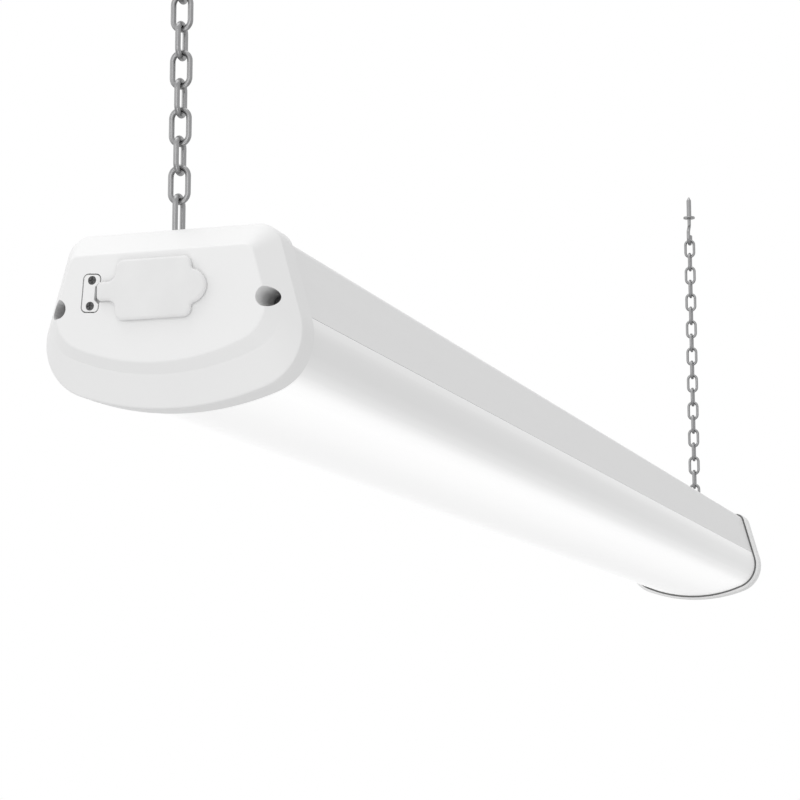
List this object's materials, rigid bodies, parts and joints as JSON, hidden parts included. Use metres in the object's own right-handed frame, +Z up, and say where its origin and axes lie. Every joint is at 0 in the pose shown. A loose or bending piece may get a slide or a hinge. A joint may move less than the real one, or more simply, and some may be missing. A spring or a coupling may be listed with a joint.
{
  "type": "linkable led light bar",
  "caption": "Hanging LED light bar: white channel housing over a frosted lens, end caps with a covered link socket and a cord gland, hung from ceiling hooks on chains.",
  "frame": {"origin": "on the ceiling, midway between the two ceiling hooks", "axes": "+X along the bar towards the cord end, the covered socket is at -X, +Z up into the ceiling, -Y towards the side that the picture shows"},
  "size_m": [1.1597, 0.11, 0.3542],
  "materials": {
    "steel": "zinc-plated",
    "housing_white": "white powder coat",
    "lens_frosted": "frosted, lit from behind",
    "cap_white": "satin",
    "seal_black": "matt",
    "cover_soft": "matt",
    "screw_dark": "black oxide",
    "socket_plastic": "semi-gloss",
    "contact_brass": "bright",
    "gland_black": "satin",
    "tray_metal": "mill finish, white below",
    "board_white": "white solder mask",
    "led_yellow": "phosphor",
    "connector_white": "satin",
    "board_green": "green solder mask",
    "shield_metal": "tin-plated",
    "receiver_dark": "dark window",
    "sensor_clear": "clear dome",
    "driver_metal": "satin",
    "core_dark": "ferrite and winding",
    "capacitor_black": "sleeve",
    "wire_black": "insulation",
    "wire_white": "insulation",
    "wire_green": "insulation",
    "wire_grey": "insulation"
  },
  "bodies": {
    "ceiling_hooks": {"near_ceiling_hook": "steel", "far_ceiling_hook": "steel"},
    "near_top_link": {"near_top_link": "steel"},
    "near_chain": {"near_chain": "steel"},
    "near_bottom_link": {"near_bottom_link": "steel"},
    "far_top_link": {"far_top_link": "steel"},
    "far_chain": {"far_chain": "steel"},
    "far_bottom_link": {"far_bottom_link": "steel"},
    "light_bar": {"near_hanger_loop": "steel", "far_hanger_loop": "steel", "near_hanger_plate": "steel", "far_hanger_plate": "steel", "near_hanger_nuts": "steel", "far_hanger_nuts": "steel", "led_board_screws": "steel", "driver_screws": "steel", "terminal_screws": "steel", "bond_screw": "steel", "housing_channel": "housing_white", "diffuser_lens": "lens_frosted", "outlet_end_cap": "cap_white", "cord_end_cap": "cap_white", "cover_anchor_plate": "cap_white", "outlet_end_seal": "seal_black", "cord_end_seal": "seal_black", "tray_grommets": "seal_black", "cover_strap": "cover_soft", "cover_anchor_screws": "screw_dark", "outlet_cap_screws": "screw_dark", "cord_cap_screws": "screw_dark", "link_receptacle": "socket_plastic", "receptacle_contacts": "contact_brass", "bond_lug": "contact_brass", "cord_gland": "gland_black", "gland_nut": "gland_black", "gear_tray": "tray_metal", "front_led_boards": "board_white", "rear_led_boards": "board_white", "front_led_chips": "led_yellow", "rear_led_chips": "led_yellow", "board_connectors": "connector_white", "terminal_block": "connector_white", "wire_clips": "connector_white", "sensor_board": "board_green", "driver_board": "board_green", "sensor_shield": "shield_metal", "infrared_receiver": "receiver_dark", "daylight_sensor": "sensor_clear", "driver_case": "driver_metal", "driver_lid": "driver_metal", "driver_transformer": "core_dark", "driver_capacitors": "capacitor_black", "live_wire": "wire_black", "neutral_wire": "wire_white", "ground_wire": "wire_green", "bond_wire": "wire_green", "driver_supply_leads": "wire_grey", "led_leads": "wire_grey", "sensor_lead": "wire_grey"},
    "outlet_cover": {"outlet_cover": "cover_soft"}
  },
  "joints": [
    {"name": "near_sway", "type": "hinge", "parent": "ceiling_hooks", "child": "near_top_link", "pos_m": [-0.559, 0, -0.024], "axis": [1, 0, 0], "range_deg": [-30, 30]},
    {"name": "near_swing", "type": "hinge", "parent": "near_top_link", "child": "near_chain", "pos_m": [-0.559, 0, -0.03565], "axis": [0, 1, 0], "range_deg": [-25, 25]},
    {"name": "near_level", "type": "hinge", "parent": "near_chain", "child": "near_bottom_link", "pos_m": [-0.559, 0, -0.23725], "axis": [0, 1, 0], "range_deg": [-25, 25]},
    {"name": "bar_roll", "type": "hinge", "parent": "near_bottom_link", "child": "light_bar", "pos_m": [-0.559, 0, -0.24925], "axis": [1, 0, 0], "range_deg": [-30, 30]},
    {"name": "far_sway", "type": "hinge", "parent": "ceiling_hooks", "child": "far_top_link", "pos_m": [0.559, 0, -0.024], "axis": [1, 0, 0], "range_deg": [-30, 30]},
    {"name": "far_swing", "type": "hinge", "parent": "far_top_link", "child": "far_chain", "pos_m": [0.559, 0, -0.03565], "axis": [0, 1, 0], "range_deg": [-25, 25]},
    {"name": "far_level", "type": "hinge", "parent": "far_chain", "child": "far_bottom_link", "pos_m": [0.559, 0, -0.23725], "axis": [0, 1, 0], "range_deg": [-25, 25]},
    {"name": "cover_hinge", "type": "hinge", "parent": "light_bar", "child": "outlet_cover", "pos_m": [-0.5789, 0.0212, -0.2906], "axis": [0, 0, -1], "range_deg": [0, 120], "stiffness_Nm_per_rad": 0.001}
  ],
  "couplings": [
    {"joint": "near_level", "follows": "near_swing", "ratio": -1},
    {"joint": "far_sway", "follows": "near_sway", "ratio": 1},
    {"joint": "far_swing", "follows": "near_swing", "ratio": 1},
    {"joint": "far_level", "follows": "near_swing", "ratio": -1}
  ]
}
